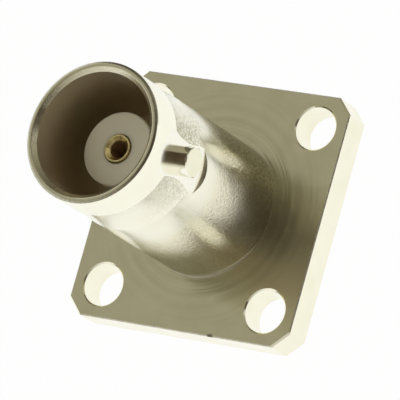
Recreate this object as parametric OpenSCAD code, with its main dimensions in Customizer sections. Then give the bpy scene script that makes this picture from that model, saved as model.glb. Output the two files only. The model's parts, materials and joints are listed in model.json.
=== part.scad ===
// Bayonet coaxial jack with a square flange for a panel.
// The origin is the centre of the flange's rear face and +Z points out of the mouth.
// One lug points along +X, and the flange's sides lie along X and Y.

/* [Flange] */
// Width of the square flange
flange_w = 17.3; // [15:0.1:20]
// Thickness of the flange
flange_t = 2.15; // [1.6:0.05:3]
// Length cut off each side at the corners
corner_cut = 1.08; // [0.6:0.02:1.8]
// Bevel along the front edge of the cut corners
corner_break = 0.12; // [0.04:0.01:0.2]
// Distance from a hole's axis to the flange's sides
hole_edge = 2.3; // [2:0.05:2.6]
// Diameter of the holes
hole_d = 2.95; // [2.6:0.05:3.3]
// Broken edge along the flange's front edges and round its holes
edge_break = 0.04; // [0.02:0.01:0.12]

/* [Shell] */
// Height of the rim above the flange's front face
shell_len = 15.95; // [15:0.05:18]
// Outside diameter that the plug's sleeve slides over
shell_d = 9.6; // [8.6:0.05:10.6]
// Length of that diameter behind the rim
mating_len = 8.15; // [6.5:0.05:9]
// Step out from that diameter to the neck
neck_step = 0.02; // [0.02:0.02:0.4]
// Radius in the corner between neck and flange
neck_fillet = 0.05; // [0.05:0.05:0.6]
// Wall of the shell
shell_wall = 0.65; // [0.55:0.01:0.8]
// Chamfer at the inner edge of the rim
mouth_chamfer = 0.3; // [0.1:0.02:0.4]
// Radius at the outer edge of the rim
rim_round = 0.2; // [0.04:0.01:0.24]

/* [Bayonet lugs] */
// Diameter of a lug
lug_d = 2; // [1.8:0.02:2.2]
// Height of a lug above the shell
lug_h = 0.7; // [0.6:0.02:0.9]
// Distance from the rim back to the lugs' axis
lug_setback = 4.15; // [3.8:0.05:4.6]
// Broken edge round a lug's end
lug_break = 0.05; // [0.02:0.01:0.12]
// Depth of the flat that a lug stands on
land_depth = 0.25; // [0.12:0.01:0.3]
// Diameter of the round cut that leaves a flat
land_d = 5.4; // [4.2:0.1:6]
// Angle at which the edge of that cut flares outwards
land_flare = 32; // [5:1:45]
// Width of the hollow band milled round the shell between the lugs
band_w = 3.1; // [2.4:0.05:4]
// Depth of that band at its middle
band_relief = 0.085; // [0.02:0.005:0.1]

/* [Inside of the body] */
// Depth of the mating cavity behind the rim
cavity_depth = 8.5; // [7.6:0.05:9]
// Thickness of the web behind the cavity
web_t = 1.8; // [1:0.1:2.6]
// Diameter of the bore that takes the insulators
seat_d = 6.6; // [6:0.05:7]

/* [Spigot] */
// Wall of the spigot behind the flange
spigot_wall = 0.7; // [0.6:0.05:1.4]
// Length of the spigot
spigot_len = 2.5; // [1.6:0.1:5]
// Distance that the rolled lip reaches in over the insulator
lip_reach = 0.5; // [0.2:0.05:0.8]
// Thickness of the rolled lip at its inner edge
lip_t = 0.2; // [0.1:0.05:0.4]
// Radius on the outside of the rolled lip
lip_round = 0.5; // [0.2:0.05:0.6]

/* [Insulators] */
// Diameter of the boss in the mouth
boss_d = 5; // [4.6:0.05:5.4]
// Distance from the rim back to the boss's face
boss_setback = 3.5; // [2.8:0.05:4.4]
// Broken edge on the insulators
soft_edge = 0.06; // [0.02:0.02:0.2]
// Length of the rear insulator inside its bore
rear_bush_len = 4.2; // [3:0.1:5.5]
// Distance that the rear insulator stands out behind the lip
rear_bush_proud = 0.6; // [0.2:0.1:2]
// Clearance on the radius between pieces that are pushed together
push_gap = 0.02; // [0.01:0.01:0.04]

/* [Contact] */
// Diameter of the hole for the mating pin, with the leaves sprung shut
pin_hole_d = 1.2; // [1.1:0.01:1.4]
// Depth of that hole
pin_hole_depth = 5.6; // [5:0.1:6.4]
// Wall of the contact
leaf_wall = 0.33; // [0.3:0.01:0.42]
// Distance that its nose stands out of the boss
nose_proud = 0.14; // [0.05:0.01:0.3]
// Width of the chamfer round the nose
nose_chamfer = 0.06; // [0.04:0.01:0.08]
// Countersink of that hole at its mouth, on the radius
pin_lead_in = 0.2; // [0.1:0.01:0.21]
// Depth of that countersink
pin_lead_len = 0.2; // [0.1:0.02:0.5]
// Width of the slots between the four spring leaves
slot_w = 0.06; // [0.04:0.02:0.24]
// Length of the slots
slot_len = 4.2; // [3:0.1:4.6]
// Clearance round the spring leaves
leaf_gap = 0.09; // [0.02:0.01:0.12]
// Diameter of the collar that is held between the insulators
collar_d = 3.4; // [2.6:0.1:4]
// Thickness of the collar
collar_t = 1; // [0.6:0.1:1.6]
// Length of the tail behind the rear insulator
tail_len = 4; // [3:0.1:6]
// Wall of the solder cup
cup_wall = 0.27; // [0.2:0.01:0.4]
// Depth of the solder cup
cup_depth = 3; // [2.4:0.1:4]
// Length of the cup's cut-away side
cup_window = 2; // [1:0.1:2.3]

/* [Hidden] */
$fn = 96;
// Overrun of a cut past the face that it opens
over = 0.5;
// Steps in an arc of a profile
arc_steps = 6;
lug_angles = [0, 180];
hole_sides = [-1, 1];
leaf_count = 4;

// Radii
shell_r = shell_d / 2;
neck_r = shell_r + neck_step;
band_arc_r = (band_w * band_w / 4 + band_relief * band_relief) / (2 * band_relief);
bore_r = shell_r - shell_wall;
seat_r = seat_d / 2;
spigot_r = seat_r + spigot_wall;
lip_r = seat_r - lip_reach;
lug_r = lug_d / 2;
land_r = land_d / 2;
boss_r = boss_d / 2;
web_hole_r = boss_r + push_gap;
pin_r = pin_hole_d / 2;
contact_r = pin_r + leaf_wall;
collar_r = collar_d / 2;
cup_r = contact_r - cup_wall;

// Half the angle of the arc across the band
band_half = asin(band_w / 2 / band_arc_r);

// Distances from the axis
land_x = shell_r - land_depth;
lug_tip_x = shell_r + lug_h;
lug_root_x = (bore_r + land_x) / 2;
hole_x = flange_w / 2 - hole_edge;
corner_reach = (flange_w - corner_cut) / sqrt(2);

// Heights above the flange's rear face
rim_z = flange_t + shell_len;
neck_top_z = rim_z - mating_len;
lug_z = rim_z - lug_setback;
cavity_z = rim_z - cavity_depth;
web_z = cavity_z - web_t;
boss_z = rim_z - boss_setback;
nose_z = boss_z + nose_proud;
spigot_z = -spigot_len;
lip_z = spigot_z + lip_t;
lip_top_z = lip_z + lip_reach;
split_z = lip_top_z + rear_bush_len;
collar_top_z = split_z + collar_t;
bush_end_z = spigot_z - rear_bush_proud;
tail_end_z = bush_end_z - tail_len;
pin_floor_z = nose_z - pin_hole_depth;

// Points of an arc about a centre, from one angle to another
function arc_points(centre, radius, from, to) =
    [for (i = [0:arc_steps])
        let (a = from + (to - from) * i / arc_steps)
        centre + radius * [cos(a), sin(a)]];

// Outside of the turned body, from the rolled lip to the rim
module turned_outside() {
    rotate_extrude()
        polygon(concat(
            [[0, spigot_z]],
            arc_points([spigot_r - lip_round, spigot_z + lip_round], lip_round, -90, 0),
            [[spigot_r, flange_t / 2], [neck_r + neck_fillet, flange_t / 2]],
            arc_points([neck_r + neck_fillet, flange_t + neck_fillet], neck_fillet, 270, 180),
            [[neck_r, neck_top_z], [shell_r, neck_top_z]],
            arc_points([shell_r - band_relief + band_arc_r, lug_z], band_arc_r,
                180 + band_half, 180 - band_half),
            arc_points([shell_r - rim_round, rim_z - rim_round], rim_round, 0, 90),
            [[0, rim_z]]));
}

// Everything that is bored out of the body along its axis
module turned_inside() {
    rotate_extrude()
        polygon([
            [0, spigot_z - over],
            [lip_r, spigot_z - over],
            [lip_r, lip_z],
            [seat_r, lip_top_z],
            [seat_r, web_z],
            [web_hole_r, web_z],
            [web_hole_r, cavity_z],
            [bore_r, cavity_z],
            [bore_r, rim_z - mouth_chamfer],
            [bore_r + mouth_chamfer, rim_z],
            [bore_r + mouth_chamfer, rim_z + over],
            [0, rim_z + over]]);
}

// Square plate with its corners cut and the edges of its front face broken
module flange_plate() {
    difference() {
        linear_extrude(flange_t)
            intersection() {
                square(flange_w, center = true);
                rotate(45)
                    square(2 * corner_reach, center = true);
            }
        for (a = [0:90:270]) {
            rotate(a)
                edge_cut(flange_w / 2, edge_break);
            rotate(a + 45)
                edge_cut(corner_reach, corner_break);
        }
    }
}

// Cut that breaks one front edge of the plate, at a distance from the axis
module edge_cut(distance, width) {
    translate([distance, 0, flange_t])
        rotate([0, 45, 0])
            cube([width * sqrt(2), flange_w, width * sqrt(2)], center = true);
}

// One hole through the flange, with its front edge broken
module flange_hole() {
    translate([0, 0, -over])
        cylinder(d = hole_d, h = flange_t + 2 * over);
    translate([0, 0, flange_t - edge_break])
        cylinder(d1 = hole_d, d2 = hole_d + 4 * edge_break, h = 2 * edge_break);
}

// Round cut with a sloping edge that leaves the flat under one lug
module land_cut() {
    cut_h = neck_r - land_x + over;
    translate([land_x, 0, lug_z])
        rotate([0, 90, 0])
            cylinder(r1 = land_r, r2 = land_r + cut_h * tan(land_flare), h = cut_h);
}

// One lug, standing on its flat along +X
module lug() {
    tip = lug_tip_x - lug_root_x;
    translate([lug_root_x, 0, lug_z])
        rotate([0, 90, 0])
            rotate_extrude()
                polygon([
                    [0, 0],
                    [lug_r, 0],
                    [lug_r, tip - lug_break],
                    [lug_r - lug_break, tip],
                    [0, tip]]);
}

module body() {
    color([0.80, 0.78, 0.68]) {
        difference() {
            union() {
                turned_outside();
                flange_plate();
            }
            turned_inside();
            for (a = lug_angles)
                rotate(a)
                    land_cut();
            for (sx = hole_sides, sy = hole_sides)
                translate([sx * hole_x, sy * hole_x, 0])
                    flange_hole();
        }
        for (a = lug_angles)
            rotate(a)
                lug();
    }
}

// Boss and shoulder in one turned piece, bored for the contact and its collar
module front_insulator() {
    shoulder_r = seat_r - push_gap;
    leaf_hole_r = contact_r + leaf_gap;
    color([0.93, 0.93, 0.90])
        rotate_extrude()
            polygon([
                [leaf_hole_r, collar_top_z],
                [collar_r + push_gap, collar_top_z],
                [collar_r + push_gap, split_z],
                [shoulder_r, split_z],
                [shoulder_r, web_z - soft_edge],
                [shoulder_r - soft_edge, web_z],
                [boss_r, web_z],
                [boss_r, boss_z - soft_edge],
                [boss_r - soft_edge, boss_z],
                [leaf_hole_r, boss_z]]);
}

// Bush behind the collar, tapered where the rolled lip holds it
module rear_insulator() {
    bush_r = seat_r - push_gap;
    neck_bush_r = lip_r - push_gap;
    tail_hole_r = contact_r + push_gap;
    color([0.93, 0.93, 0.90])
        rotate_extrude()
            polygon([
                [tail_hole_r, bush_end_z],
                [neck_bush_r - soft_edge, bush_end_z],
                [neck_bush_r, bush_end_z + soft_edge],
                [neck_bush_r, lip_z + push_gap],
                [bush_r, lip_top_z + push_gap],
                [bush_r, split_z],
                [tail_hole_r, split_z]]);
}

// Slotted socket, collar and solder cup in one turned piece
module socket_contact() {
    slot_h = slot_len + over;
    window_h = cup_window + over;
    color([0.83, 0.66, 0.28])
        difference() {
            rotate_extrude()
                polygon([
                    [0, tail_end_z],
                    [contact_r - nose_chamfer, tail_end_z],
                    [contact_r, tail_end_z + nose_chamfer],
                    [contact_r, split_z],
                    [collar_r, split_z],
                    [collar_r, collar_top_z],
                    [contact_r, collar_top_z],
                    [contact_r, nose_z - nose_chamfer],
                    [contact_r - nose_chamfer, nose_z],
                    [pin_r + pin_lead_in, nose_z],
                    [pin_r, nose_z - pin_lead_len],
                    [pin_r, pin_floor_z],
                    [0, pin_floor_z - pin_r / 2]]);
            for (i = [0:leaf_count / 2 - 1])
                rotate(i * 360 / leaf_count)
                    translate([0, 0, nose_z + over - slot_h / 2])
                        cube([2 * contact_r + over, slot_w, slot_h], center = true);
            translate([0, 0, tail_end_z - over])
                cylinder(r = cup_r, h = cup_depth + over);
            translate([0, -contact_r, tail_end_z + (window_h - 2 * over) / 2])
                cube([2 * contact_r + over, 2 * contact_r, window_h], center = true);
        }
}

body();
front_insulator();
rear_insulator();
socket_contact();
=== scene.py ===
import json
import math
import random

import bmesh
import bpy
from mathutils import Matrix, Vector


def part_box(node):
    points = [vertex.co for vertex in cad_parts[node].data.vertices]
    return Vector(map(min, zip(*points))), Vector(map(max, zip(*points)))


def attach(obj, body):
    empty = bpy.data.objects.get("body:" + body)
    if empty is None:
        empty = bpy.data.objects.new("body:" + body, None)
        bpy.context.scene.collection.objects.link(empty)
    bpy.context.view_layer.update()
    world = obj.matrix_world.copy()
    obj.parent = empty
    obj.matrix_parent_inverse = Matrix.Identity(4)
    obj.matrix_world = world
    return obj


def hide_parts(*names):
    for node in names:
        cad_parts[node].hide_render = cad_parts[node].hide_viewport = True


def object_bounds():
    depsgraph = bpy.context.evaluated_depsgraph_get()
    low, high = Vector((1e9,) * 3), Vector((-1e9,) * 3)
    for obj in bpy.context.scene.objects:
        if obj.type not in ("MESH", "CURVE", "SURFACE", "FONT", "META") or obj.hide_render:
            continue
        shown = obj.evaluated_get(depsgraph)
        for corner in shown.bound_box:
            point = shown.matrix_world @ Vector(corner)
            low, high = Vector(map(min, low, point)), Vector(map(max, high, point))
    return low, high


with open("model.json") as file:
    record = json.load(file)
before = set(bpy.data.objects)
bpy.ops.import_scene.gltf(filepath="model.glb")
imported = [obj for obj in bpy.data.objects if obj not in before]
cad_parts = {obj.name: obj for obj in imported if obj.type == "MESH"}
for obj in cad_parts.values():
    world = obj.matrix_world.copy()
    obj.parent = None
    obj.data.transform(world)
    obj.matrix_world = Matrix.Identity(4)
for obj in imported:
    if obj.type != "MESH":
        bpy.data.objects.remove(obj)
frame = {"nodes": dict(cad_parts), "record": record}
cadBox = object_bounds()
toMetre = 0.001  # sizes below are in millimetres, as on a drawing
weldGap = 0.0005  # points closer than this are one
print("frame loaded:", ", ".join(sorted(frame["nodes"])))


def boxMm(node):
    low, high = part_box(node)
    return low / toMetre, high / toMetre


def mountDims(name):
    return next(m["dims"] for m in frame["record"]["mounts"] if m["name"] == name)


# node helpers, for geometry trees and for materials
def addNode(tree, kind, feeds, **settings):
    node = tree.nodes.new(kind)
    for key, value in settings.items():
        setattr(node, key, value)
    for label, source in feeds.items():
        if isinstance(source, bpy.types.NodeSocket):
            tree.links.new(source, node.inputs[label])
        else:
            node.inputs[label].default_value = source
    return node


def growTree(name, inputs):
    tree = bpy.data.node_groups.new(name, "GeometryNodeTree")
    tree.interface.new_socket("Geometry", in_out="OUTPUT", socket_type="NodeSocketGeometry")
    tree.interface.new_socket("Geometry", in_out="INPUT", socket_type="NodeSocketGeometry")
    for label, kind in inputs.items():
        tree.interface.new_socket(label, in_out="INPUT", socket_type="NodeSocket" + kind)
    source = tree.nodes.new("NodeGroupInput").outputs
    return tree, source


def endTree(tree, geometry, finish):
    whole = addNode(tree, "GeometryNodeRealizeInstances", {"Geometry": geometry})
    coated = addNode(tree, "GeometryNodeSetMaterial", {"Geometry": whole.outputs[0], "Material": finish})
    addNode(tree, "NodeGroupOutput", {"Geometry": coated.outputs[0]})


def latheTree():
    # turns the outline in the XZ plane about Z
    tree, source = growTree("turnOnLathe", {
        "Segments": "Int", "Path Radius": "Float", "Weld": "Float", "Finish": "Material"})
    outline = addNode(tree, "GeometryNodeMeshToCurve", {"Mesh": source["Geometry"]})
    back = addNode(tree, "ShaderNodeMath", {0: 0.0, 1: source["Path Radius"]}, operation="SUBTRACT")
    shift = addNode(tree, "ShaderNodeCombineXYZ", {"X": back.outputs[0]})
    laid = addNode(tree, "GeometryNodeTransform", {
        "Geometry": outline.outputs[0],
        "Translation": shift.outputs[0],
        "Rotation": (math.pi / 2, 0, 0)})
    circle = addNode(tree, "GeometryNodeCurvePrimitiveCircle", {
        "Resolution": source["Segments"], "Radius": source["Path Radius"]})
    path = addNode(tree, "GeometryNodeSetCurveNormal", {"Curve": circle.outputs[0]}, mode="Z_UP")
    swept = addNode(tree, "GeometryNodeCurveToMesh", {
        "Curve": path.outputs[0], "Profile Curve": laid.outputs[0]})
    welded = addNode(tree, "GeometryNodeMergeByDistance", {
        "Geometry": swept.outputs[0], "Distance": source["Weld"]})
    endTree(tree, welded.outputs[0], source["Finish"])
    return tree


def patternTree(operation):
    # places a tool a number of times round the axis and joins it to the work or cuts it out
    tree, source = growTree(operation.lower() + "RoundAxis", {
        "Tool": "Object", "Count": "Int", "Radius": "Float", "Start": "Float", "Height": "Float",
        "Finish": "Material"})
    index = addNode(tree, "GeometryNodeInputIndex", {})
    pitch = addNode(tree, "ShaderNodeMath", {0: 2 * math.pi, 1: source["Count"]}, operation="DIVIDE")
    turned = addNode(tree, "ShaderNodeMath", {
        0: index.outputs[0], 1: pitch.outputs[0], 2: source["Start"]}, operation="MULTIPLY_ADD")
    cosine = addNode(tree, "ShaderNodeMath", {0: turned.outputs[0]}, operation="COSINE")
    sine = addNode(tree, "ShaderNodeMath", {0: turned.outputs[0]}, operation="SINE")
    alongX = addNode(tree, "ShaderNodeMath", {
        0: cosine.outputs[0], 1: source["Radius"]}, operation="MULTIPLY")
    alongY = addNode(tree, "ShaderNodeMath", {
        0: sine.outputs[0], 1: source["Radius"]}, operation="MULTIPLY")
    place = addNode(tree, "ShaderNodeCombineXYZ", {
        "X": alongX.outputs[0], "Y": alongY.outputs[0], "Z": source["Height"]})
    facing = addNode(tree, "ShaderNodeCombineXYZ", {"Z": turned.outputs[0]})
    points = addNode(tree, "GeometryNodePoints", {"Count": source["Count"], "Position": place.outputs[0]})
    tool = addNode(tree, "GeometryNodeObjectInfo", {"Object": source["Tool"]})
    copies = addNode(tree, "GeometryNodeInstanceOnPoints", {
        "Points": points.outputs[0], "Instance": tool.outputs["Geometry"], "Rotation": facing.outputs[0]})
    tools = addNode(tree, "GeometryNodeRealizeInstances", {"Geometry": copies.outputs[0]})
    joined = addNode(tree, "GeometryNodeMeshBoolean", {}, operation=operation, solver="EXACT")
    tree.links.new(source["Geometry"], joined.inputs["Mesh 2" if operation == "UNION" else "Mesh 1"])
    tree.links.new(tools.outputs[0], joined.inputs["Mesh 2"])
    endTree(tree, joined.outputs["Mesh"], source["Finish"])
    return tree


def runTree(piece, tree, values):
    modifier = piece.modifiers.new(tree.name, "NODES")
    modifier.node_group = tree
    for item in tree.interface.items_tree:
        if item.in_out == "INPUT" and item.name in values:
            modifier[item.identifier] = values[item.name]
    graph = bpy.context.evaluated_depsgraph_get()
    mesh = bpy.data.meshes.new_from_object(piece.evaluated_get(graph), depsgraph=graph)
    piece.modifiers.clear()
    piece.data = mesh


def showMesh(name, points, edges=(), faces=()):
    mesh = bpy.data.meshes.new(name)
    mesh.from_pydata(points, edges, faces)
    piece = bpy.data.objects.new(name, mesh)
    bpy.context.scene.collection.objects.link(piece)
    return piece


def boxTool(name, low, high):
    points = [(x, y, z) for x in (low[0], high[0]) for y in (low[1], high[1]) for z in (low[2], high[2])]
    faces = [(0, 1, 3, 2), (4, 6, 7, 5), (0, 4, 5, 1), (2, 3, 7, 6), (0, 2, 6, 4), (1, 5, 7, 3)]  # six sides
    return showMesh(name, points, faces=faces)


def arc(centre, radius, start, end, steps=20):
    angles = [math.radians(start + (end - start) * i / steps) for i in range(steps + 1)]
    return [(centre[0] + radius * math.cos(a), centre[1] + radius * math.sin(a)) for a in angles]


lathe = latheTree()
joinRound = patternTree("UNION")
cutRound = patternTree("DIFFERENCE")


def turn(name, outline, finish, segments=384):
    # an outline that starts and ends on the axis stays open, any other is closed
    onAxis = outline[0][0] == 0 and outline[-1][0] == 0
    count = len(outline)
    edges = [(i, (i + 1) % count) for i in range(count - 1 if onAxis else count)]
    piece = showMesh(name, [(r, 0, z) for r, z in outline], edges)
    runTree(piece, lathe, {"Segments": segments, "Path Radius": 1.0, "Weld": weldGap, "Finish": finish})
    faceOut(piece)
    return piece


def faceOut(piece):
    work = bmesh.new()
    work.from_mesh(piece.data)
    bmesh.ops.recalc_face_normals(work, faces=work.faces)
    work.to_mesh(piece.data)
    work.free()


def applyTool(work, tool, tree, finish, count=1, radius=0.0, start=0.0, height=0.0):
    runTree(work, tree, {
        "Tool": tool, "Count": count, "Radius": radius, "Start": math.radians(start), "Height": height,
        "Finish": finish})
    bpy.data.objects.remove(tool)


def coatZones(piece, finishes, zoneOf):
    # each face takes the finish of the zone that it lies in
    order = list(finishes)
    piece.data.materials.clear()
    for name in order:
        piece.data.materials.append(finishes[name])
    for polygon in piece.data.polygons:
        polygon.material_index = order.index(zoneOf(polygon.center, polygon.normal))


def seat(piece, node, sharpAngle=5):
    # doubles merged, normals out, edges crisp, millimetres to metres, then onto the frame
    work = bmesh.new()
    work.from_mesh(piece.data)
    bmesh.ops.remove_doubles(work, verts=work.verts, dist=weldGap)
    bmesh.ops.recalc_face_normals(work, faces=work.faces)
    for edge in work.edges:
        sides = edge.link_faces
        alike = len(sides) == 2 and sides[0].material_index == sides[1].material_index
        edge.smooth = alike and edge.calc_face_angle() < math.radians(sharpAngle)
    for face in work.faces:
        face.smooth = True
    bmesh.ops.scale(work, vec=(toMetre, toMetre, toMetre), verts=work.verts)
    work.to_mesh(piece.data)
    work.free()
    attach(piece, "root")
    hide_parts(node)
    print("piece", piece.name, len(piece.data.polygons), "faces")


# finishes
def bareMaterial(name):
    material = bpy.data.materials.new(name)
    material.use_nodes = True
    material.node_tree.nodes.clear()
    return material, material.node_tree


def startMaterial(name):
    material, tree = bareMaterial(name)
    shader = addNode(tree, "ShaderNodeBsdfPrincipled", {})
    addNode(tree, "ShaderNodeOutputMaterial", {"Surface": shader.outputs[0]})
    place = addNode(tree, "ShaderNodeTexCoord", {}).outputs["Object"]
    return material, tree, shader.inputs, place


def noise(tree, place, size, detail=3.0, rough=0.5):
    # size is the width of a grain in millimetres
    return addNode(tree, "ShaderNodeTexNoise", {
        "Vector": place, "Scale": 1 / (size * toMetre), "Detail": detail, "Roughness": rough}).outputs["Fac"]


def speckle(tree, place, size):
    # fine noise about nought, for relief
    return plus(tree, noise(tree, place, size, 2.0, 0.6), -0.5)


def span(tree, value, low, high, toLow=0.0, toHigh=1.0):
    return addNode(tree, "ShaderNodeMapRange", {
        "Value": value, "From Min": low, "From Max": high, "To Min": toLow, "To Max": toHigh},
        interpolation_type="SMOOTHSTEP").outputs[0]


def spanMm(tree, value, low, high, toLow=0.0, toHigh=1.0):
    # the same between two places in millimetres
    return span(tree, value, low * toMetre, high * toMetre, toLow, toHigh)


def drawOut(tree, fac, reach, toLow=0.0, toHigh=1.0):
    # the same for noise, as far as a reach on both sides of its middle
    return span(tree, fac, 0.5 - reach, 0.5 + reach, toLow, toHigh)


def times(tree, first, second):
    return addNode(tree, "ShaderNodeMath", {0: first, 1: second}, operation="MULTIPLY").outputs[0]


def plus(tree, first, second):
    return addNode(tree, "ShaderNodeMath", {0: first, 1: second}, operation="ADD").outputs[0]


def blendColour(tree, share, first, second):
    return addNode(tree, "ShaderNodeMix", {0: share, 6: first, 7: second}, data_type="RGBA").outputs[2]


def axisRadius(tree, place):
    flat = addNode(tree, "ShaderNodeVectorMath", {0: place, 1: (1, 1, 0)}, operation="MULTIPLY").outputs[0]
    return addNode(tree, "ShaderNodeVectorMath", {0: flat}, operation="LENGTH").outputs["Value"]


def heightOf(tree, place):
    return addNode(tree, "ShaderNodeSeparateXYZ", {"Vector": place}).outputs["Z"]


def rings(tree, along, pitch, detail=4.0):
    # turning marks, a row of uneven lines along a length
    return addNode(tree, "ShaderNodeTexNoise", {
        "W": along, "Scale": 1 / (pitch * toMetre), "Detail": detail, "Roughness": 0.6},
        noise_dimensions="1D").outputs["Fac"]


def relief(tree, height, depth, under=None):
    # depth in millimetres of a height from 0 to 1
    feeds = {"Height": height, "Distance": depth * toMetre, "Strength": 1.0}
    if under is not None:
        feeds["Normal"] = under
    return addNode(tree, "ShaderNodeBump", feeds).outputs[0]


# the neck's two darker tones are painted shade for its reflections, and the flat faces' mark tone is partly
# painted shade by the neck
nickelLook = {
    "bright": (0.99, 0.985, 0.84, 1), "worn": (0.95, 0.935, 0.76, 1), "pitted": (0.52, 0.495, 0.41, 1),
    "satin": (0.985, 0.95, 0.75, 1), "dulled": (0.54, 0.515, 0.39, 1), "rubbed": (0.7, 0.665, 0.49, 1),
    "flatLight": (0.90, 0.88, 0.70, 1), "flatDark": (0.84, 0.81, 0.62, 1), "flatMark": (0.64, 0.61, 0.46, 1),
}


def shellNickel(look):
    # smooth at the rim, pebbled beside the lugs, satin on the neck
    material, tree, shader, place = startMaterial("shellNickel")
    parts = addNode(tree, "ShaderNodeSeparateXYZ", {"Vector": place}).outputs
    height, side = parts["Z"], parts["Y"]
    aside = addNode(tree, "ShaderNodeMath", {0: side}, operation="ABSOLUTE").outputs[0]
    bandLow, bandHigh, neckTop = look["bandLow"], look["bandHigh"], look["neckTop"]

    # where each finish lies
    ragged = times(tree, noise(tree, place, look["ragged"]), look["raggedBy"] * toMetre)
    ragged = plus(tree, height, ragged)
    low = spanMm(tree, ragged, bandLow - look["patchUnder"], bandLow + look["patchOver"])
    high = spanMm(tree, height, bandHigh - look["patchEdge"], bandHigh, 1.0, 0.0)
    near = spanMm(tree, aside, look["patchNear"], look["patchFar"], 1.0, look["patchLeast"])
    pebbled = times(tree, times(tree, low, high), near)
    neck = spanMm(tree, height, neckTop - look["neckUnder"], neckTop + look["neckOver"], 1.0, 0.0)
    satin = spanMm(tree, height, look["satinFrom"], look["satinTo"], look["satinLeast"], 1.0)
    satin = times(tree, neck, satin)

    # relief, from the broad swell to the grain
    uneven = drawOut(tree, noise(tree, place, look["uneven"], 2.0), 0.15, look["unevenLeast"], 1.0)
    pebbles = times(tree, speckle(tree, place, look["pebble"]), pebbled)
    grain = times(tree, speckle(tree, place, look["grain"]), times(tree, satin, uneven))
    lean = spanMm(tree, height, look["leanFrom"], look["leanTo"], 1.0, 0.0)
    lean = times(tree, lean, spanMm(tree, side, look["leanRight"], look["leanLeft"], 1.0, 0.0))
    normal = relief(tree, noise(tree, place, look["wave"], 2.0), look["waveDepth"])
    normal = relief(tree, lean, look["leanDepth"], normal)
    normal = relief(tree, pebbles, look["pebbleDepth"], normal)
    normal = relief(tree, grain, look["grainDepth"], normal)
    tree.links.new(normal, shader["Normal"])

    # colour: clouds, painted shade low down and higher at the sides that darkens the neck's reflections,
    # lighter painted shade on the right, specks over all
    cloud = noise(tree, place, look["cloud"], 4.0)
    plate = blendColour(tree, cloud, nickelLook["bright"], nickelLook["worn"])
    plate = blendColour(tree, neck, plate, nickelLook["satin"])
    # painted shade: the neck's colour darkens towards the flange, and higher up at the sides, to darken what
    # it reflects
    left = spanMm(tree, side, look["leftFrom"], look["leftTo"], 0.0, -look["dullLeft"] * toMetre)
    right = spanMm(tree, side, look["rightFrom"], look["rightTo"], -look["dullRight"] * toMetre, 0.0)
    shadeHeight = plus(tree, height, plus(tree, left, right))
    dulled = spanMm(tree, shadeHeight, look["dullFrom"], look["dullTo"], 1.0, 0.0)
    # on the right the painted shade takes a lighter tone
    rubbed = times(tree, spanMm(tree, side, look["rubbedFade"], look["rubbedTo"], 1.0, 0.0),
                   spanMm(tree, side, look["rubbedFrom"], look["rubbedFull"]))
    paintedShadeTone = blendColour(tree, rubbed, nickelLook["dulled"], nickelLook["rubbed"])
    plate = blendColour(tree, dulled, plate, paintedShadeTone)
    specks = drawOut(tree, noise(tree, place, look["speck"], 2.0, 0.6), 0.12)
    aged = spanMm(tree, side, look["agedFrom"], look["agedTo"], look["agedLeast"], 1.0)
    lower = spanMm(tree, height, look["speckFrom"], look["speckTo"], look["speckSatin"], 0.0)
    where = plus(tree, lower, times(tree, pebbled, look["speckPebble"]))
    grime = times(tree, spanMm(tree, side, look["grimeFrom"], look["grimeTo"], 0.0, look["speckGrime"]),
                  spanMm(tree, height, bandLow, bandLow + look["grimeOver"], 1.0, 0.0))
    pits = times(tree, times(tree, specks, aged), plus(tree, where, grime))
    plate = addNode(tree, "ShaderNodeMix", {0: pits, 6: plate, 7: nickelLook["pitted"]},
                    data_type="RGBA", blend_type="MULTIPLY").outputs[2]
    tree.links.new(plate, shader["Base Color"])

    rough = drawOut(tree, cloud, 0.2, look["roughLow"], look["roughHigh"])
    blur = spanMm(tree, height, look["blurFrom"], look["blurTo"], look["roughSatin"], 0.0)
    blur = times(tree, blur, spanMm(tree, side, look["blurRight"], look["blurLeft"], 1.0, look["blurLeast"]))
    rough = plus(tree, rough, blur)
    tree.links.new(plus(tree, rough, times(tree, pebbled, look["roughPebble"])), shader["Roughness"])

    # turned on a lathe, so reflections spread along the axis more than round it
    spun = addNode(tree, "ShaderNodeTangent", {}, direction_type="RADIAL", axis="Z").outputs[0]
    edgeTint = blendColour(tree, neck, (1, 1, 1, 1), look["edgeTint"])
    tree.links.new(spun, shader["Tangent"])
    tree.links.new(edgeTint, shader["Specular Tint"])
    shader["Metallic"].default_value = 1.0
    shader["Anisotropic"].default_value = look["turned"]
    shader["Anisotropic Rotation"].default_value = look["turnedAngle"]

    # a broader second lobe, the haze that satin plate has round its reflections
    core = shader["Normal"].node.outputs[0]
    shown = core.links[0].to_socket
    haze = addNode(tree, "ShaderNodeBsdfPrincipled", {
        "Base Color": plate, "Normal": normal, "Metallic": 1.0, "Roughness": look["hazeRough"],
        "Specular Tint": edgeTint, "Anisotropic": look["turned"],
        "Anisotropic Rotation": look["turnedAngle"], "Tangent": spun})
    share = spanMm(tree, height, bandHigh, bandHigh + look["hazeStep"], look["hazeLow"], look["hazeHigh"])
    both = addNode(tree, "ShaderNodeMixShader", {0: share, 1: core, 2: haze.outputs[0]})
    tree.links.new(both.outputs[0], shown)
    return material


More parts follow.
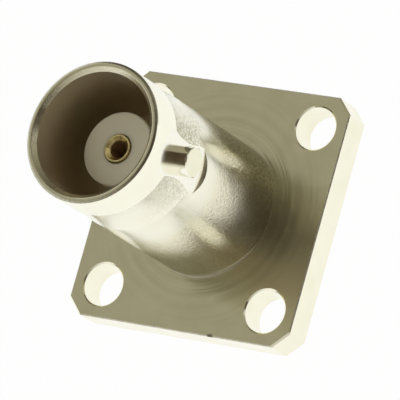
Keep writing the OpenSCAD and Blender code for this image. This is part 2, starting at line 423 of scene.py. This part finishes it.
def turnedNickel(name, look):
    # faces off the lathe, with rings about the axis that come and go and fade outwards; their darkening is
    # heaviest by the neck, where it is partly painted shade at the neck's foot
    material, tree, shader, place = startMaterial(name)
    radius = axisRadius(tree, place)
    cloud = noise(tree, place, look["cloud"], 4.0)
    lines = drawOut(tree, rings(tree, radius, look["pitch"], look["detail"]), 0.2)
    patchy = drawOut(tree, noise(tree, place, 2 * look["cloud"], 2.0), 0.15, 0.4, 1.0)
    fading = spanMm(tree, radius, look["ringsFrom"], look["ringsTo"], 1.0, look["ringsLeft"])
    marks = times(tree, times(tree, lines, patchy), fading)
    tree.links.new(relief(tree, marks, look["ringDepth"]), shader["Normal"])
    plate = blendColour(tree, drawOut(tree, cloud, 0.2), look["light"], look["dark"])
    # the rings darken the colour, and by the neck this darkening stands partly for painted shade
    shade = times(tree, marks, look["ringShade"])
    tree.links.new(blendColour(tree, shade, plate, nickelLook["flatMark"]), shader["Base Color"])
    tree.links.new(drawOut(tree, cloud, 0.2, look["roughLow"], look["roughHigh"]), shader["Roughness"])
    shader["Metallic"].default_value = 1.0
    return material


def cloudAndLines(tree, cloud, lines, share=0.3):
    return plus(tree, times(tree, cloud, 1 - share), times(tree, lines, share))


def boreNickel(look):
    # thin dull plate inside the mouth, coloured darker and browner as partly painted shade for the deep
    # recess, with fine marks along the bore
    material, tree, shader, place = startMaterial("boreNickel")
    lines = rings(tree, heightOf(tree, place), look["pitch"])
    mixed = cloudAndLines(tree, noise(tree, place, look["cloud"], 4.0), lines)
    tree.links.new(relief(tree, lines, look["ringDepth"]), shader["Normal"])
    tree.links.new(blendColour(tree, mixed, look["light"], look["dark"]), shader["Base Color"])
    tree.links.new(drawOut(tree, mixed, 0.3, look["roughLow"], look["roughHigh"]), shader["Roughness"])
    shader["Metallic"].default_value = 1.0
    return material


def plainMetal(name, look):
    # milled, sawn and gilt faces: fine grain, a little cloud
    material, tree, shader, place = startMaterial(name)
    cloud = noise(tree, place, look["cloud"], 4.0)
    normal = relief(tree, noise(tree, place, look["grain"]), look["grainDepth"])
    tree.links.new(normal, shader["Normal"])
    tree.links.new(blendColour(tree, cloud, look["light"], look["dark"]), shader["Base Color"])
    tree.links.new(drawOut(tree, cloud, 0.2, look["roughLow"], look["roughHigh"]), shader["Roughness"])
    shader["Metallic"].default_value = 1.0
    return material


def whitePlastic(look):
    material, tree, shader, place = startMaterial("whiteInsulator")
    cloud = noise(tree, place, look["cloud"], 4.0)
    lines = rings(tree, axisRadius(tree, place), look["pitch"])
    mixed = cloudAndLines(tree, cloud, lines)
    tree.links.new(relief(tree, lines, look["ringDepth"]), shader["Normal"])
    tree.links.new(blendColour(tree, mixed, look["light"], look["dark"]), shader["Base Color"])
    tree.links.new(drawOut(tree, cloud, 0.2, look["roughLow"], look["roughHigh"]), shader["Roughness"])
    shader["Subsurface Weight"].default_value = look["glow"]
    shader["Subsurface Radius"].default_value = look["glowReach"]
    shader["Subsurface Scale"].default_value = toMetre
    return material


# body
bodyLow, bodyHigh = boxMm("body")
bolts = mountDims("panel_bolts")
body = {
    "rimZ": bodyHigh.z, "flangeHalf": bodyHigh.x, "spigotZ": bodyLow.z,
    "holePitch": bolts["spacing_x_mm"], "holeRadius": bolts["hole_r_mm"],
    "flangeThick": 2.15, "cornerCut": 1.08, "edgeBreak": 0.07, "cornerBreak": 0.12, "holeBreak": 0.09,
    "shellRadius": 4.8, "matingLength": 8.15, "neckStep": 0.02, "neckEase": 1.2, "neckFillet": 0.005,
    "ridgeAngle": -67, "ridgeShift": 0.57, "ridgeReach": 0.17, "ridgeHeight": 0.09, "ridgeInside": 3.95,
    "shellWall": 0.65, "mouthChamfer": 0.3, "mouthRound": 0.14,
    "rimRound": 0.13, "rimBevel": 0.12, "bevelLean": 53,
    "lugRadius": 1.0, "lugHeight": 0.7, "lugSetback": 4.15, "lugBreak": 0.05,
    "landDepth": 0.25, "landRadius": 2.7, "landFlare": 32, "slopeWidth": 0.4,
    "bandWidth": 3.1, "bandRelief": 0.085,
    "nickAngle": -72.1, "nickReach": 9.09, "nickSize": (0.28, 0.28, 0.15), "nickMargin": 1.2,
    "cavityDepth": 8.5, "webThick": 1.8, "webHole": 2.52, "seatRadius": 3.3,
    "spigotRadius": 4.0, "lipReach": 0.5, "lipThick": 0.2, "lipRound": 0.5,
    "facingUp": 0.99, "rimFacing": 0.66, "footFacing": 0.2, "overrun": 0.5,
}


def bodyOutline(b):
    shell, rim = b["shellRadius"], b["rimZ"]
    neck = shell + b["neckStep"]
    outside = arc((b["spigotRadius"] - b["lipRound"], b["spigotZ"] + b["lipRound"]), b["lipRound"], -90, 0)
    fillet = b["neckFillet"]
    outside += [(b["spigotRadius"], b["flangeThick"] / 2), (neck + fillet, b["flangeThick"] / 2)]
    outside += arc((neck + fillet, b["flangeThick"] + fillet), fillet, 270, 180, 6)
    outside += [(neck, b["neckTop"] - b["neckEase"]), (shell, b["neckTop"])]
    bandArc = (b["bandWidth"] ** 2 / 4 + b["bandRelief"] ** 2) / (2 * b["bandRelief"])
    half = math.degrees(math.asin(b["bandWidth"] / 2 / bandArc))
    outside += arc((shell - b["bandRelief"] + bandArc, b["lugZ"]), bandArc, 180 + half, 180 - half, 12)
    lean = math.radians(b["bevelLean"])
    inwards, upwards = b["rimBevel"] * math.sin(lean), b["rimBevel"] * math.cos(lean)
    curve, bevel = b["rimRound"], b["bevelLean"]
    outside += arc((shell - curve, rim - curve - upwards), curve, 0, bevel, 10)
    outside += arc((shell - curve - inwards, rim - curve), curve, bevel, 90, 10)
    corner = b["bore"] + b["mouthChamfer"] + b["mouthRound"] * math.tan(math.pi / 8)
    outside += arc((corner, rim - b["mouthRound"]), b["mouthRound"], 90, 135, 8)
    inside = [
        (b["bore"], rim - b["mouthChamfer"]),
        (b["bore"], b["cavityZ"]), (b["webHole"], b["cavityZ"]),
        (b["webHole"], b["cavityZ"] - b["webThick"]), (b["seatRadius"], b["cavityZ"] - b["webThick"]),
        (b["seatRadius"], b["spigotZ"] + b["lipThick"] + b["lipReach"]),
        (b["seatRadius"] - b["lipReach"], b["spigotZ"] + b["lipThick"]),
        (b["seatRadius"] - b["lipReach"], b["spigotZ"])]
    return outside + inside


def flangePlate(b):
    # square plate with its corners cut
    half = b["flangeHalf"]
    cut = half - b["cornerCut"]
    corners = [(half, -cut), (half, cut), (cut, half), (-cut, half),
               (-half, cut), (-half, -cut), (-cut, -half), (cut, -half)]
    points = [(x, y, z) for z in (0, b["flangeThick"]) for x, y in corners]
    sides = [(i, (i + 1) % 8, 8 + (i + 1) % 8, 8 + i) for i in range(8)]
    ends = [tuple(range(7, -1, -1)), tuple(range(8, 16))]
    return showMesh("flangePlate", points, faces=sides + ends)


def edgeTool(name, width, length):
    # square bar on its corner, which breaks an edge to the width
    reach = width / math.sqrt(2)
    bar = boxTool(name, (-reach, -length / 2, -reach), (reach, length / 2, reach))
    bar.data.transform(Matrix.Rotation(math.pi / 4, 4, "Y"))
    return bar


def nickTool(size):
    # small uneven ball for the nick in the flange's edge
    work = bmesh.new()
    bmesh.ops.create_icosphere(work, subdivisions=2, radius=1.0)
    chance = random.Random(4)
    for vert in work.verts:
        vert.co *= chance.uniform(0.8, 1.15)
    mesh = bpy.data.meshes.new("edgeNick")
    work.to_mesh(mesh)
    work.free()
    mesh.transform(Matrix.Diagonal((*size, 1)))
    piece = bpy.data.objects.new("edgeNick", mesh)
    bpy.context.scene.collection.objects.link(piece)
    return piece


def layAlongX(piece):
    piece.data.transform(Matrix.Rotation(math.pi / 2, 4, "Y"))
    return piece


def bodyFinishes(b):
    shell = shellNickel({
        "bandLow": b["bandLow"], "bandHigh": b["bandHigh"], "neckTop": b["neckTop"],
        "ragged": 1.2, "raggedBy": 0.8, "patchUnder": 0.4, "patchOver": 1.2, "patchEdge": 0.08,
        "patchNear": 1.6, "patchFar": 4.6, "patchLeast": 0.1, "pebble": 0.13, "pebbleDepth": 0.04,
        "neckUnder": 1.0, "neckOver": 0.8, "satinFrom": 4.0, "satinTo": 6.5, "satinLeast": 0.3,
        "grain": 0.19, "grainDepth": 0.028, "uneven": 1.2, "unevenLeast": 0.45,
        "wave": 1.1, "waveDepth": 0.004,
        "leanFrom": 3.0, "leanTo": 11.5, "leanDepth": 0.24, "leanRight": -3.0, "leanLeft": 2.0,
        "cloud": 2.5, "speck": 0.15, "speckSatin": 0.7, "speckFrom": 7.5, "speckTo": 10.5,
        "speckPebble": 1.0, "speckGrime": 0.5, "grimeFrom": 1.0, "grimeTo": 3.0, "grimeOver": 0.8,
        "agedFrom": -1.0, "agedTo": 3.0, "agedLeast": 0.45,
        # where the painted shade on the neck lies, how far it rises at each side, and where it is lighter
        "dullFrom": 4.5, "dullTo": 7.6, "dullLeft": 3.8, "leftFrom": 2.2, "leftTo": 3.2,
        "dullRight": 0.8, "rightFrom": -3.8, "rightTo": -2.8,
        "rubbedFrom": -4.6, "rubbedFull": -3.8, "rubbedFade": -3.0, "rubbedTo": -1.5,
        "roughLow": 0.11, "roughHigh": 0.16, "roughSatin": 0.06, "roughPebble": 0.03,
        "blurFrom": 9.0, "blurTo": 12.0, "blurRight": -1.0, "blurLeft": 1.0, "blurLeast": 0.1,
        "turned": 0.85, "turnedAngle": 0.25, "edgeTint": (0.84, 0.83, 0.8, 1),
        "hazeLow": 0.27, "hazeHigh": 0.06, "hazeStep": 0.2, "hazeRough": 0.28})
    face = turnedNickel("turnedNickel", {
        "cloud": 2.0, "pitch": 0.45, "detail": 2.0, "ringDepth": 0.007, "ringShade": 0.45,
        "ringsFrom": 4.8, "ringsTo": 8.5, "ringsLeft": 0.25,
        "light": nickelLook["flatLight"], "dark": nickelLook["flatDark"],
        "roughLow": 0.19, "roughHigh": 0.26})
    rim = turnedNickel("rimNickel", {
        "cloud": 0.5, "pitch": 0.15, "detail": 1.0, "ringDepth": 0.003, "ringShade": 0.4,
        "ringsFrom": 4.0, "ringsTo": 5.0, "ringsLeft": 1.0,
        "light": nickelLook["flatLight"], "dark": nickelLook["flatDark"],
        "roughLow": 0.2, "roughHigh": 0.3})
    mouth = plainMetal("mouthNickel", {
        "cloud": 0.6, "grain": 0.12, "grainDepth": 0.008, "light": (0.77, 0.735, 0.56, 1),
        "dark": (0.66, 0.625, 0.46, 1), "roughLow": 0.2, "roughHigh": 0.28})
    # the bore's darker brown is partly painted shade for the recess
    bore = boreNickel({
        "cloud": 1.6, "pitch": 0.25, "ringDepth": 0.001, "light": (0.79, 0.71, 0.55, 1),
        "dark": (0.71, 0.62, 0.47, 1), "roughLow": 0.42, "roughHigh": 0.54})
    side = plainMetal("sideNickel", {
        "cloud": 1.5, "grain": 0.1, "grainDepth": 0.001, "light": (0.97, 0.945, 0.78, 1),
        "dark": (0.92, 0.89, 0.7, 1), "roughLow": 0.12, "roughHigh": 0.22})
    land = plainMetal("landNickel", {
        "cloud": 1.0, "grain": 0.3, "grainDepth": 0.0004, "light": (0.97, 0.955, 0.84, 1),
        "dark": (0.94, 0.925, 0.8, 1), "roughLow": 0.15, "roughHigh": 0.2})
    lug = plainMetal("lugNickel", {
        "cloud": 1.0, "grain": 0.3, "grainDepth": 0.0004, "light": (0.965, 0.95, 0.83, 1),
        "dark": (0.93, 0.915, 0.79, 1), "roughLow": 0.06, "roughHigh": 0.1})
    slope = plainMetal("slopeNickel", {
        "cloud": 0.4, "grain": 0.08, "grainDepth": 0.003, "light": (0.9, 0.88, 0.7, 1),
        "dark": (0.8, 0.77, 0.6, 1), "roughLow": 0.25, "roughHigh": 0.35})
    lugEnd = plainMetal("lugEndNickel", {
        "cloud": 0.5, "grain": 0.1, "grainDepth": 0.001, "light": (0.91, 0.89, 0.7, 1),
        "dark": (0.865, 0.845, 0.64, 1), "roughLow": 0.12, "roughHigh": 0.2})
    # the neck's foot is painted darker, as shade in the crease where the neck meets the flange
    foot = plainMetal("footNickel", {
        "cloud": 0.6, "grain": 0.1, "grainDepth": 0.002, "light": (0.6, 0.57, 0.44, 1),
        "dark": (0.5, 0.47, 0.36, 1), "roughLow": 0.4, "roughHigh": 0.5})
    # broken edges of the flange and the rim: the dark tone is painted shade along the edge lines, flecked
    # with pale plate
    edge = plainMetal("edgeNickel", {
        "cloud": 0.14, "grain": 0.1, "grainDepth": 0.012, "light": (0.85, 0.82, 0.66, 1),
        "dark": (0.2, 0.185, 0.14, 1), "roughLow": 0.28, "roughHigh": 0.3})
    nick = plainMetal("nickedNickel", {
        "cloud": 0.2, "grain": 0.05, "grainDepth": 0.004, "light": (0.55, 0.5, 0.38, 1),
        "dark": (0.38, 0.34, 0.25, 1), "roughLow": 0.45, "roughHigh": 0.6})
    return {
        "shell": shell, "face": face, "rim": rim, "edge": edge, "mouth": mouth, "bore": bore, "side": side,
        "land": land, "lug": lug, "slope": slope, "lugEnd": lugEnd, "foot": foot, "nick": nick}


def bodyZone(b, middle, normal):
    r = math.hypot(middle.x, middle.y)
    small = 0.01
    tiny = small / 4
    if middle.z > b["rimZ"] - small:
        return "rim"
    if abs(middle.z - b["flangeThick"]) < small / 2 and normal.z > b["facingUp"]:
        return "face"
    outermost = max(abs(middle.x), abs(middle.y)) > b["flangeHalf"] - b["edgeBreak"]
    if outermost and middle.z > b["flangeThick"] - b["edgeBreak"] and normal.z > 0.5:
        return "edge"
    fromNick = math.hypot(middle.x - b["nickX"], middle.y - b["nickY"])
    nicked = fromNick < b["nickMargin"] * b["nickSize"][0]
    if nicked and b["flangeThick"] - middle.z < b["nickMargin"] * b["nickSize"][2]:
        return "nick"
    if middle.z > b["rimZ"] - b["mouthChamfer"]:
        if r < b["bore"] + b["mouthChamfer"] + b["mouthRound"] / 2:
            return "mouth"
        if normal.z > b["rimFacing"]:
            return "edge"
    if r < b["bore"] + small and middle.z > b["flangeThick"]:
        return "bore"
    aboveFace = middle.z - b["flangeThick"]
    if 0 < aboveFace < b["ridgeHeight"] and b["footFacing"] < normal.z < b["facingUp"]:
        return "foot"
    if aboveFace > small:
        out = abs(middle.x)
        fromLug = math.hypot(middle.y, middle.z - b["lugZ"])
        if out > b["shellRadius"] + b["lugHeight"] - tiny:
            return "lugEnd"
        if fromLug < b["lugRadius"] + small and out > b["landX"] + small:
            return "lug"
        if fromLug < b["landRadius"] and abs(out - b["landX"]) < tiny:
            return "land"
        besideLand = b["landRadius"] - small < fromLug < b["landRadius"] + b["slopeWidth"]
        return "slope" if besideLand and abs(normal.z) > 0.5 else "shell"
    if normal.z < -0.9 and abs(middle.z) < small:
        return "face"
    if middle.z < 0:
        return "bore" if r < b["seatRadius"] + small and normal.z > -0.5 else "side"
    return "bore" if r < b["seatRadius"] + small else "side"


def makeBody(b):
    b["neckTop"] = b["rimZ"] - b["matingLength"]
    b["lugZ"] = b["rimZ"] - b["lugSetback"]
    b["bandLow"] = b["lugZ"] - b["bandWidth"] / 2
    b["bandHigh"] = b["lugZ"] + b["bandWidth"] / 2
    b["bore"] = b["shellRadius"] - b["shellWall"]
    b["cavityZ"] = b["rimZ"] - b["cavityDepth"]
    b["landX"] = b["shellRadius"] - b["landDepth"]
    b["nickX"] = b["nickReach"] * math.cos(math.radians(b["nickAngle"]))
    b["nickY"] = b["nickReach"] * math.sin(math.radians(b["nickAngle"]))
    finishes = bodyFinishes(b)
    coat = finishes["shell"]
    piece = turn("jackBody", bodyOutline(b), coat)
    applyTool(piece, flangePlate(b), joinRound, coat)

    applyTool(piece, edgeTool("edgeBar", b["edgeBreak"], 2 * b["flangeHalf"]), cutRound, coat,
              4, b["flangeHalf"], 0, b["flangeThick"])
    cornerReach = (2 * b["flangeHalf"] - b["cornerCut"]) / math.sqrt(2)
    applyTool(piece, edgeTool("cornerBar", b["cornerBreak"], 2 * b["flangeHalf"]), cutRound, coat,
              4, cornerReach, 45, b["flangeThick"])

    holeLow, holeHigh = -b["overrun"], b["flangeThick"] + b["holeBreak"]
    drill = turn("flangeDrill", [
        (0, holeLow), (b["holeRadius"], holeLow), (b["holeRadius"], b["flangeThick"] - b["holeBreak"]),
        (b["holeRadius"] + 2 * b["holeBreak"], holeHigh), (0, holeHigh)], coat, 96)
    applyTool(piece, drill, cutRound, coat, 4, b["holePitch"] / math.sqrt(2), 45)
    applyTool(piece, nickTool(b["nickSize"]), cutRound, coat,
              1, b["nickReach"], b["nickAngle"], b["flangeThick"])

    # low crescent at the neck's foot, the part of an off-centre cone that stands clear of the neck
    ridgeFoot = b["shellRadius"] + b["neckStep"] + b["ridgeReach"] - b["ridgeShift"]
    ridgeTop = b["flangeThick"] + b["ridgeHeight"]
    ridge = turn("footRidge", [
        (b["ridgeInside"], b["flangeThick"] / 2), (ridgeFoot, b["flangeThick"] / 2),
        (ridgeFoot, b["flangeThick"]), (ridgeFoot - b["ridgeReach"], ridgeTop),
        (b["ridgeInside"], ridgeTop)], coat)
    applyTool(piece, ridge, joinRound, coat, 1, b["ridgeShift"], b["ridgeAngle"])

    landX = b["landX"]
    cutDepth = b["landDepth"] + b["neckStep"] + b["overrun"]
    flare = cutDepth * math.tan(math.radians(b["landFlare"]))
    cutter = layAlongX(turn("landCutter", [
        (0, 0), (b["landRadius"], 0), (b["landRadius"] + flare, cutDepth), (0, cutDepth)], coat, 160))
    applyTool(piece, cutter, cutRound, coat, 2, landX, 0, b["lugZ"])

    rootX = (b["bore"] + landX) / 2
    length = b["shellRadius"] + b["lugHeight"] - rootX
    lug = layAlongX(turn("bayonetLug", [
        (0, 0), (b["lugRadius"], 0), (b["lugRadius"], length - b["lugBreak"]),
        (b["lugRadius"] - b["lugBreak"], length), (0, length)], coat, 96))
    applyTool(piece, lug, joinRound, coat, 2, rootX, 0, b["lugZ"])

    coatZones(piece, finishes, lambda middle, normal: bodyZone(b, middle, normal))
    seat(piece, "body")


makeBody(body)

# insulators
frontLow, frontHigh = boxMm("front_insulator")
rearLow, rearHigh = boxMm("rear_insulator")
insulator = {
    "bossZ": frontHigh.z, "splitZ": frontLow.z, "bushEnd": rearLow.z, "shoulder": frontHigh.x,
    "webZ": body["cavityZ"] - body["webThick"], "bossRadius": 2.5, "softEdge": 0.06, "pushGap": 0.02,
    "leafHole": 1.02, "collarRadius": 1.7, "collarThick": 1.0, "tailHole": 0.95,
    "lipRadius": body["seatRadius"] - body["lipReach"], "lipZ": body["spigotZ"] + body["lipThick"],
}


def makeInsulators(s):
    coat = whitePlastic({
        "cloud": 1.5, "pitch": 0.2, "ringDepth": 0.001, "light": (0.80, 0.785, 0.71, 1),
        "dark": (0.72, 0.705, 0.62, 1), "roughLow": 0.4, "roughHigh": 0.55,
        "glow": 0.8, "glowReach": (1.0, 0.9, 0.75)})
    collarTop = s["splitZ"] + s["collarThick"]
    collarHole = s["collarRadius"] + s["pushGap"]
    boss = turn("frontInsulator", [
        (s["leafHole"], collarTop), (collarHole, collarTop), (collarHole, s["splitZ"]),
        (s["shoulder"], s["splitZ"]), (s["shoulder"], s["webZ"] - s["softEdge"]),
        (s["shoulder"] - s["softEdge"], s["webZ"]), (s["bossRadius"], s["webZ"]),
        (s["bossRadius"], s["bossZ"] - s["softEdge"]), (s["bossRadius"] - s["softEdge"], s["bossZ"]),
        (s["leafHole"], s["bossZ"])], coat, 160)
    seat(boss, "front_insulator")

    neck = s["lipRadius"] - s["pushGap"]
    lipTop = s["lipZ"] + body["lipReach"]
    bush = turn("rearInsulator", [
        (s["tailHole"], s["bushEnd"]), (neck - s["softEdge"], s["bushEnd"]),
        (neck, s["bushEnd"] + s["softEdge"]), (neck, s["lipZ"] + s["pushGap"]),
        (s["shoulder"], lipTop + s["pushGap"]), (s["shoulder"], s["splitZ"]),
        (s["tailHole"], s["splitZ"])], coat, 160)
    seat(bush, "rear_insulator")


makeInsulators(insulator)

# contact
contactLow, contactHigh = boxMm("socket_contact")
contact = {
    "noseZ": contactHigh.z, "tailZ": contactLow.z, "pinRadius": mountDims("pin_socket")["r_mm"],
    "splitZ": frontLow.z, "collarRadius": contactHigh.x, "collarThick": 1.0,
    "leafWall": 0.33, "pinDepth": 5.6, "tailChamfer": 0.06, "leadIn": 0.2, "lipRound": 0.065,
    "slotWidth": 0.032, "slotLength": 4.2, "leaves": 4,
    "cupWall": 0.27, "cupDepth": 3.0, "cupWindow": 2.0, "overrun": 0.5,
}


def contactFinishes():
    plate = plainMetal("goldPlate", {
        "cloud": 0.5, "grain": 0.08, "grainDepth": 0.0012, "light": (1.0, 0.94, 0.6, 1),
        "dark": (0.96, 0.86, 0.46, 1), "roughLow": 0.12, "roughHigh": 0.2})
    # the contact's outer wall is painted darker brown, as shade beside the gap in the insulator
    wall = plainMetal("goldWall", {
        "cloud": 0.5, "grain": 0.08, "grainDepth": 0.0006, "light": (0.78, 0.61, 0.35, 1),
        "dark": (0.66, 0.5, 0.27, 1), "roughLow": 0.3, "roughHigh": 0.4})
    hole = plainMetal("goldHole", {
        "cloud": 0.5, "grain": 0.08, "grainDepth": 0.002, "light": (0.86, 0.7, 0.52, 1),
        "dark": (0.78, 0.62, 0.44, 1), "roughLow": 0.55, "roughHigh": 0.7})
    return {"plate": plate, "wall": wall, "hole": hole}


def contactZone(c, middle):
    r = math.hypot(middle.x, middle.y)
    small = 0.01
    if r < c["pinRadius"] + small and middle.z > c["noseZ"] - c["pinDepth"] - c["pinRadius"]:
        return "hole"
    onLip = middle.z > c["noseZ"] - c["lipRound"]
    outside = r > c["pinRadius"] + c["leadIn"]
    return "wall" if outside and middle.z > c["splitZ"] and not onLip else "plate"


def makeContact(c):
    finishes = contactFinishes()
    coat = finishes["plate"]
    outer = c["pinRadius"] + c["leafWall"]
    pinFloor = c["noseZ"] - c["pinDepth"]
    cupTop = c["tailZ"] + c["cupDepth"]
    cup = outer - c["cupWall"]
    lip = arc((outer - c["lipRound"], c["noseZ"] - c["lipRound"]), c["lipRound"], 0, 135, 12)
    piece = turn("socketContact", [
        (0, cupTop), (cup, cupTop), (cup, c["tailZ"]),
        (outer - c["tailChamfer"], c["tailZ"]), (outer, c["tailZ"] + c["tailChamfer"]),
        (outer, c["splitZ"]), (c["collarRadius"], c["splitZ"]),
        (c["collarRadius"], c["splitZ"] + c["collarThick"]), (outer, c["splitZ"] + c["collarThick"]),
        *lip, (c["pinRadius"], lip[-1][1] - lip[-1][0] + c["pinRadius"]),
        (c["pinRadius"], pinFloor), (0, pinFloor - c["pinRadius"] / 2)], coat, 96)
    half = c["slotWidth"] / 2
    slot = boxTool("leafSlot", (c["pinRadius"] / 2, -half, c["noseZ"] - c["slotLength"]),
                   (outer + c["overrun"], half, c["noseZ"] + c["overrun"]))
    applyTool(piece, slot, cutRound, coat, c["leaves"])
    window = boxTool("cupWindow", (-outer - c["overrun"], -2 * outer, c["tailZ"] - c["overrun"]),
                     (outer + c["overrun"], 0, c["tailZ"] + c["cupWindow"]))
    applyTool(piece, window, cutRound, coat)
    coatZones(piece, finishes, lambda middle, normal: contactZone(c, middle))
    seat(piece, "socket_contact")


makeContact(contact)

# studio: pale floor, bright horizon, dull ceiling and a dark room behind the camera
studio = {
    "floorSize": 0.6, "shadowShare": 0.02,
    "skyTone": (0.355, 0.337, 0.262, 1), "horizonLow": 0.15, "horizonHigh": 0.75,
    "darkAzimuth": 12.5, "darkElevation": 2.0, "darkInner": 66.0, "darkOuter": 69.0,
    "darkTone": (0.06, 0.042, 0.025, 1),
    "bodyAzimuth": 3.0, "bodyInner": 0.06, "bodyOuter": 0.36,
    "bodyLow": 0.35, "sideLow": 0.57, "bodyEdge": 0.04,
    "hazeAzimuth": -62.0, "hazeElevation": 58.0, "hazeInner": 8.0, "hazeOuter": 30.0,
    "hazeTone": (0.19, 0.148, 0.106, 1),
    "lampAzimuth": -130.0, "lampElevation": 58.0, "lampDistance": 0.3, "lampSize": 0.15, "lampPower": 0.165,
    "lampTone": (1, 0.93, 0.74),
    "cardAzimuth": 80.0, "cardDistance": 0.045, "cardHalf": 0.05, "cardTop": 0.048,
    "cardLight": (0.33, 0.31, 0.24, 1), "cardDark": (0.12, 0.105, 0.075, 1),
}


def aimAt(azimuth, elevation):
    az, el = math.radians(azimuth), math.radians(elevation)
    return Vector((math.cos(el) * math.cos(az), math.cos(el) * math.sin(az), math.sin(el)))


def makeFloor(s):
    half = s["floorSize"] / 2
    z = cadBox[0][2]
    floor = showMesh("floor", [(-half, -half, z), (half, -half, z), (half, half, z), (-half, half, z)],
                     faces=[(0, 1, 2, 3)])
    material, tree = bareMaterial("paleFloor")
    path = addNode(tree, "ShaderNodeLightPath", {})
    seen = plus(tree, path.outputs["Is Camera Ray"], path.outputs["Is Glossy Ray"])
    seen = plus(tree, seen, path.outputs["Is Transmission Ray"])
    share = times(tree, seen, 1 - s["shadowShare"])
    paper = addNode(tree, "ShaderNodeBsdfDiffuse", {"Color": (1, 1, 1, 1)})
    white = addNode(tree, "ShaderNodeEmission", {"Color": (1, 1, 1, 1), "Strength": 1.0})
    mixed = addNode(tree, "ShaderNodeMixShader", {0: share, 1: paper.outputs[0], 2: white.outputs[0]})
    addNode(tree, "ShaderNodeOutputMaterial", {"Surface": mixed.outputs[0]})
    floor.data.materials.append(material)


def makeWorld(s):
    world = bpy.data.worlds.new("studio")
    bpy.context.scene.world = world
    world.use_nodes = True
    tree = world.node_tree
    tree.nodes.clear()
    toward = addNode(tree, "ShaderNodeTexCoord", {}).outputs["Generated"]

    def along(direction):
        dot = addNode(tree, "ShaderNodeVectorMath", {0: toward, 1: direction}, operation="DOT_PRODUCT")
        return dot.outputs["Value"]

    horizon = span(tree, along((0, 0, 1)), s["horizonLow"], s["horizonHigh"], 1.0, 0.0)
    sky = blendColour(tree, horizon, s["skyTone"], (1, 1, 1, 1))

    def discAt(azimuth, elevation, inner, outer):
        facing = along(aimAt(azimuth, elevation))
        away = addNode(tree, "ShaderNodeMath", {0: facing}, operation="ARCCOSINE").outputs[0]
        return span(tree, away, math.radians(inner), math.radians(outer), 1.0, 0.0)

    haze = discAt(s["hazeAzimuth"], s["hazeElevation"], s["hazeInner"], s["hazeOuter"])
    sky = blendColour(tree, haze, sky, s["hazeTone"])
    dome = discAt(s["darkAzimuth"], s["darkElevation"], s["darkInner"], s["darkOuter"])
    across = along(aimAt(s["bodyAzimuth"] + 90, 0))
    across = addNode(tree, "ShaderNodeMath", {0: across}, operation="ABSOLUTE").outputs[0]
    lowest = span(tree, across, s["bodyInner"], s["bodyOuter"], -s["bodyLow"], -s["sideLow"])
    above = span(tree, plus(tree, along((0, 0, 1)), lowest), -s["bodyEdge"], s["bodyEdge"])
    lit = blendColour(tree, times(tree, dome, above), sky, s["darkTone"])
    path = addNode(tree, "ShaderNodeLightPath", {})
    seen = blendColour(tree, path.outputs["Is Camera Ray"], lit, (1, 1, 1, 1))
    back = addNode(tree, "ShaderNodeBackground", {"Color": seen, "Strength": 1.0})
    addNode(tree, "ShaderNodeOutputWorld", {"Surface": back.outputs[0]})


def makeLamp(s):
    # lights the dull surfaces alone, so it leaves no spot on the metal
    toward = aimAt(s["lampAzimuth"], s["lampElevation"])
    data = bpy.data.lights.new("softLamp", "AREA")
    data.shape = "DISK"
    data.size = s["lampSize"]
    data.energy = s["lampPower"]
    data.color = s["lampTone"]
    lamp = bpy.data.objects.new("softLamp", data)
    lamp.location = toward * s["lampDistance"]
    lamp.rotation_euler = toward.to_track_quat("Z", "Y").to_euler()
    lamp.visible_glossy = False
    bpy.context.scene.collection.objects.link(lamp)


def makeCard(s):
    # dull card at one side, which only the metal sees
    out = aimAt(s["cardAzimuth"], 0)
    across = Vector((0, 0, 1)).cross(out) * s["cardHalf"]
    foot = out * s["cardDistance"] + Vector((0, 0, cadBox[0][2]))
    head = out * s["cardDistance"] + Vector((0, 0, s["cardTop"]))
    corners = [foot - across, foot + across, head + across, head - across]
    card = showMesh("dullCard", corners, faces=[(0, 1, 2, 3)])
    material, tree = bareMaterial("dullCard")
    place = addNode(tree, "ShaderNodeTexCoord", {}).outputs["Object"]
    along = addNode(tree, "ShaderNodeVectorMath", {
        0: place, 1: across / s["cardHalf"]}, operation="DOT_PRODUCT")
    fade = span(tree, along.outputs["Value"], -s["cardHalf"] / 2, s["cardHalf"] / 2)
    tone = blendColour(tree, fade, s["cardLight"], s["cardDark"])
    glow = addNode(tree, "ShaderNodeEmission", {"Color": tone, "Strength": 1.0})
    addNode(tree, "ShaderNodeOutputMaterial", {"Surface": glow.outputs[0]})
    card.data.materials.append(material)
    card.visible_camera = False
    card.visible_diffuse = False
    card.visible_shadow = False


makeFloor(studio)
makeWorld(studio)
makeLamp(studio)
makeCard(studio)
print("studio ready")

# camera at the photograph's angle, turned on its own axis as the photograph is
view = {
    "aim": (2.01, -0.66, 6.57), "azimuth": -20.02, "elevation": 56.03, "distance": 346.05, "roll": 57.46,
    "lens": 476.5, "sensor": 36.0, "clipNear": 0.01, "clipFar": 10.0,
}


def makeCamera(v):
    back = aimAt(v["azimuth"], v["elevation"])
    level = Vector((0, 0, 1)).cross(back).normalized()
    upright = back.cross(level)
    roll = math.radians(v["roll"])
    up = upright * math.cos(roll) + level * math.sin(roll)
    right = up.cross(back)
    data = bpy.data.cameras.new("photoView")
    data.sensor_width = v["sensor"]
    data.lens = v["lens"]
    data.clip_start = v["clipNear"]
    data.clip_end = v["clipFar"]
    camera = bpy.data.objects.new("photoView", data)
    turned = Matrix((right, up, back)).transposed().to_4x4()
    camera.matrix_world = Matrix.Translation((Vector(v["aim"]) + back * v["distance"]) * toMetre) @ turned
    bpy.context.scene.collection.objects.link(camera)
    bpy.context.scene.camera = camera


makeCamera(view)
bpy.context.scene.view_settings.view_transform = "Standard"
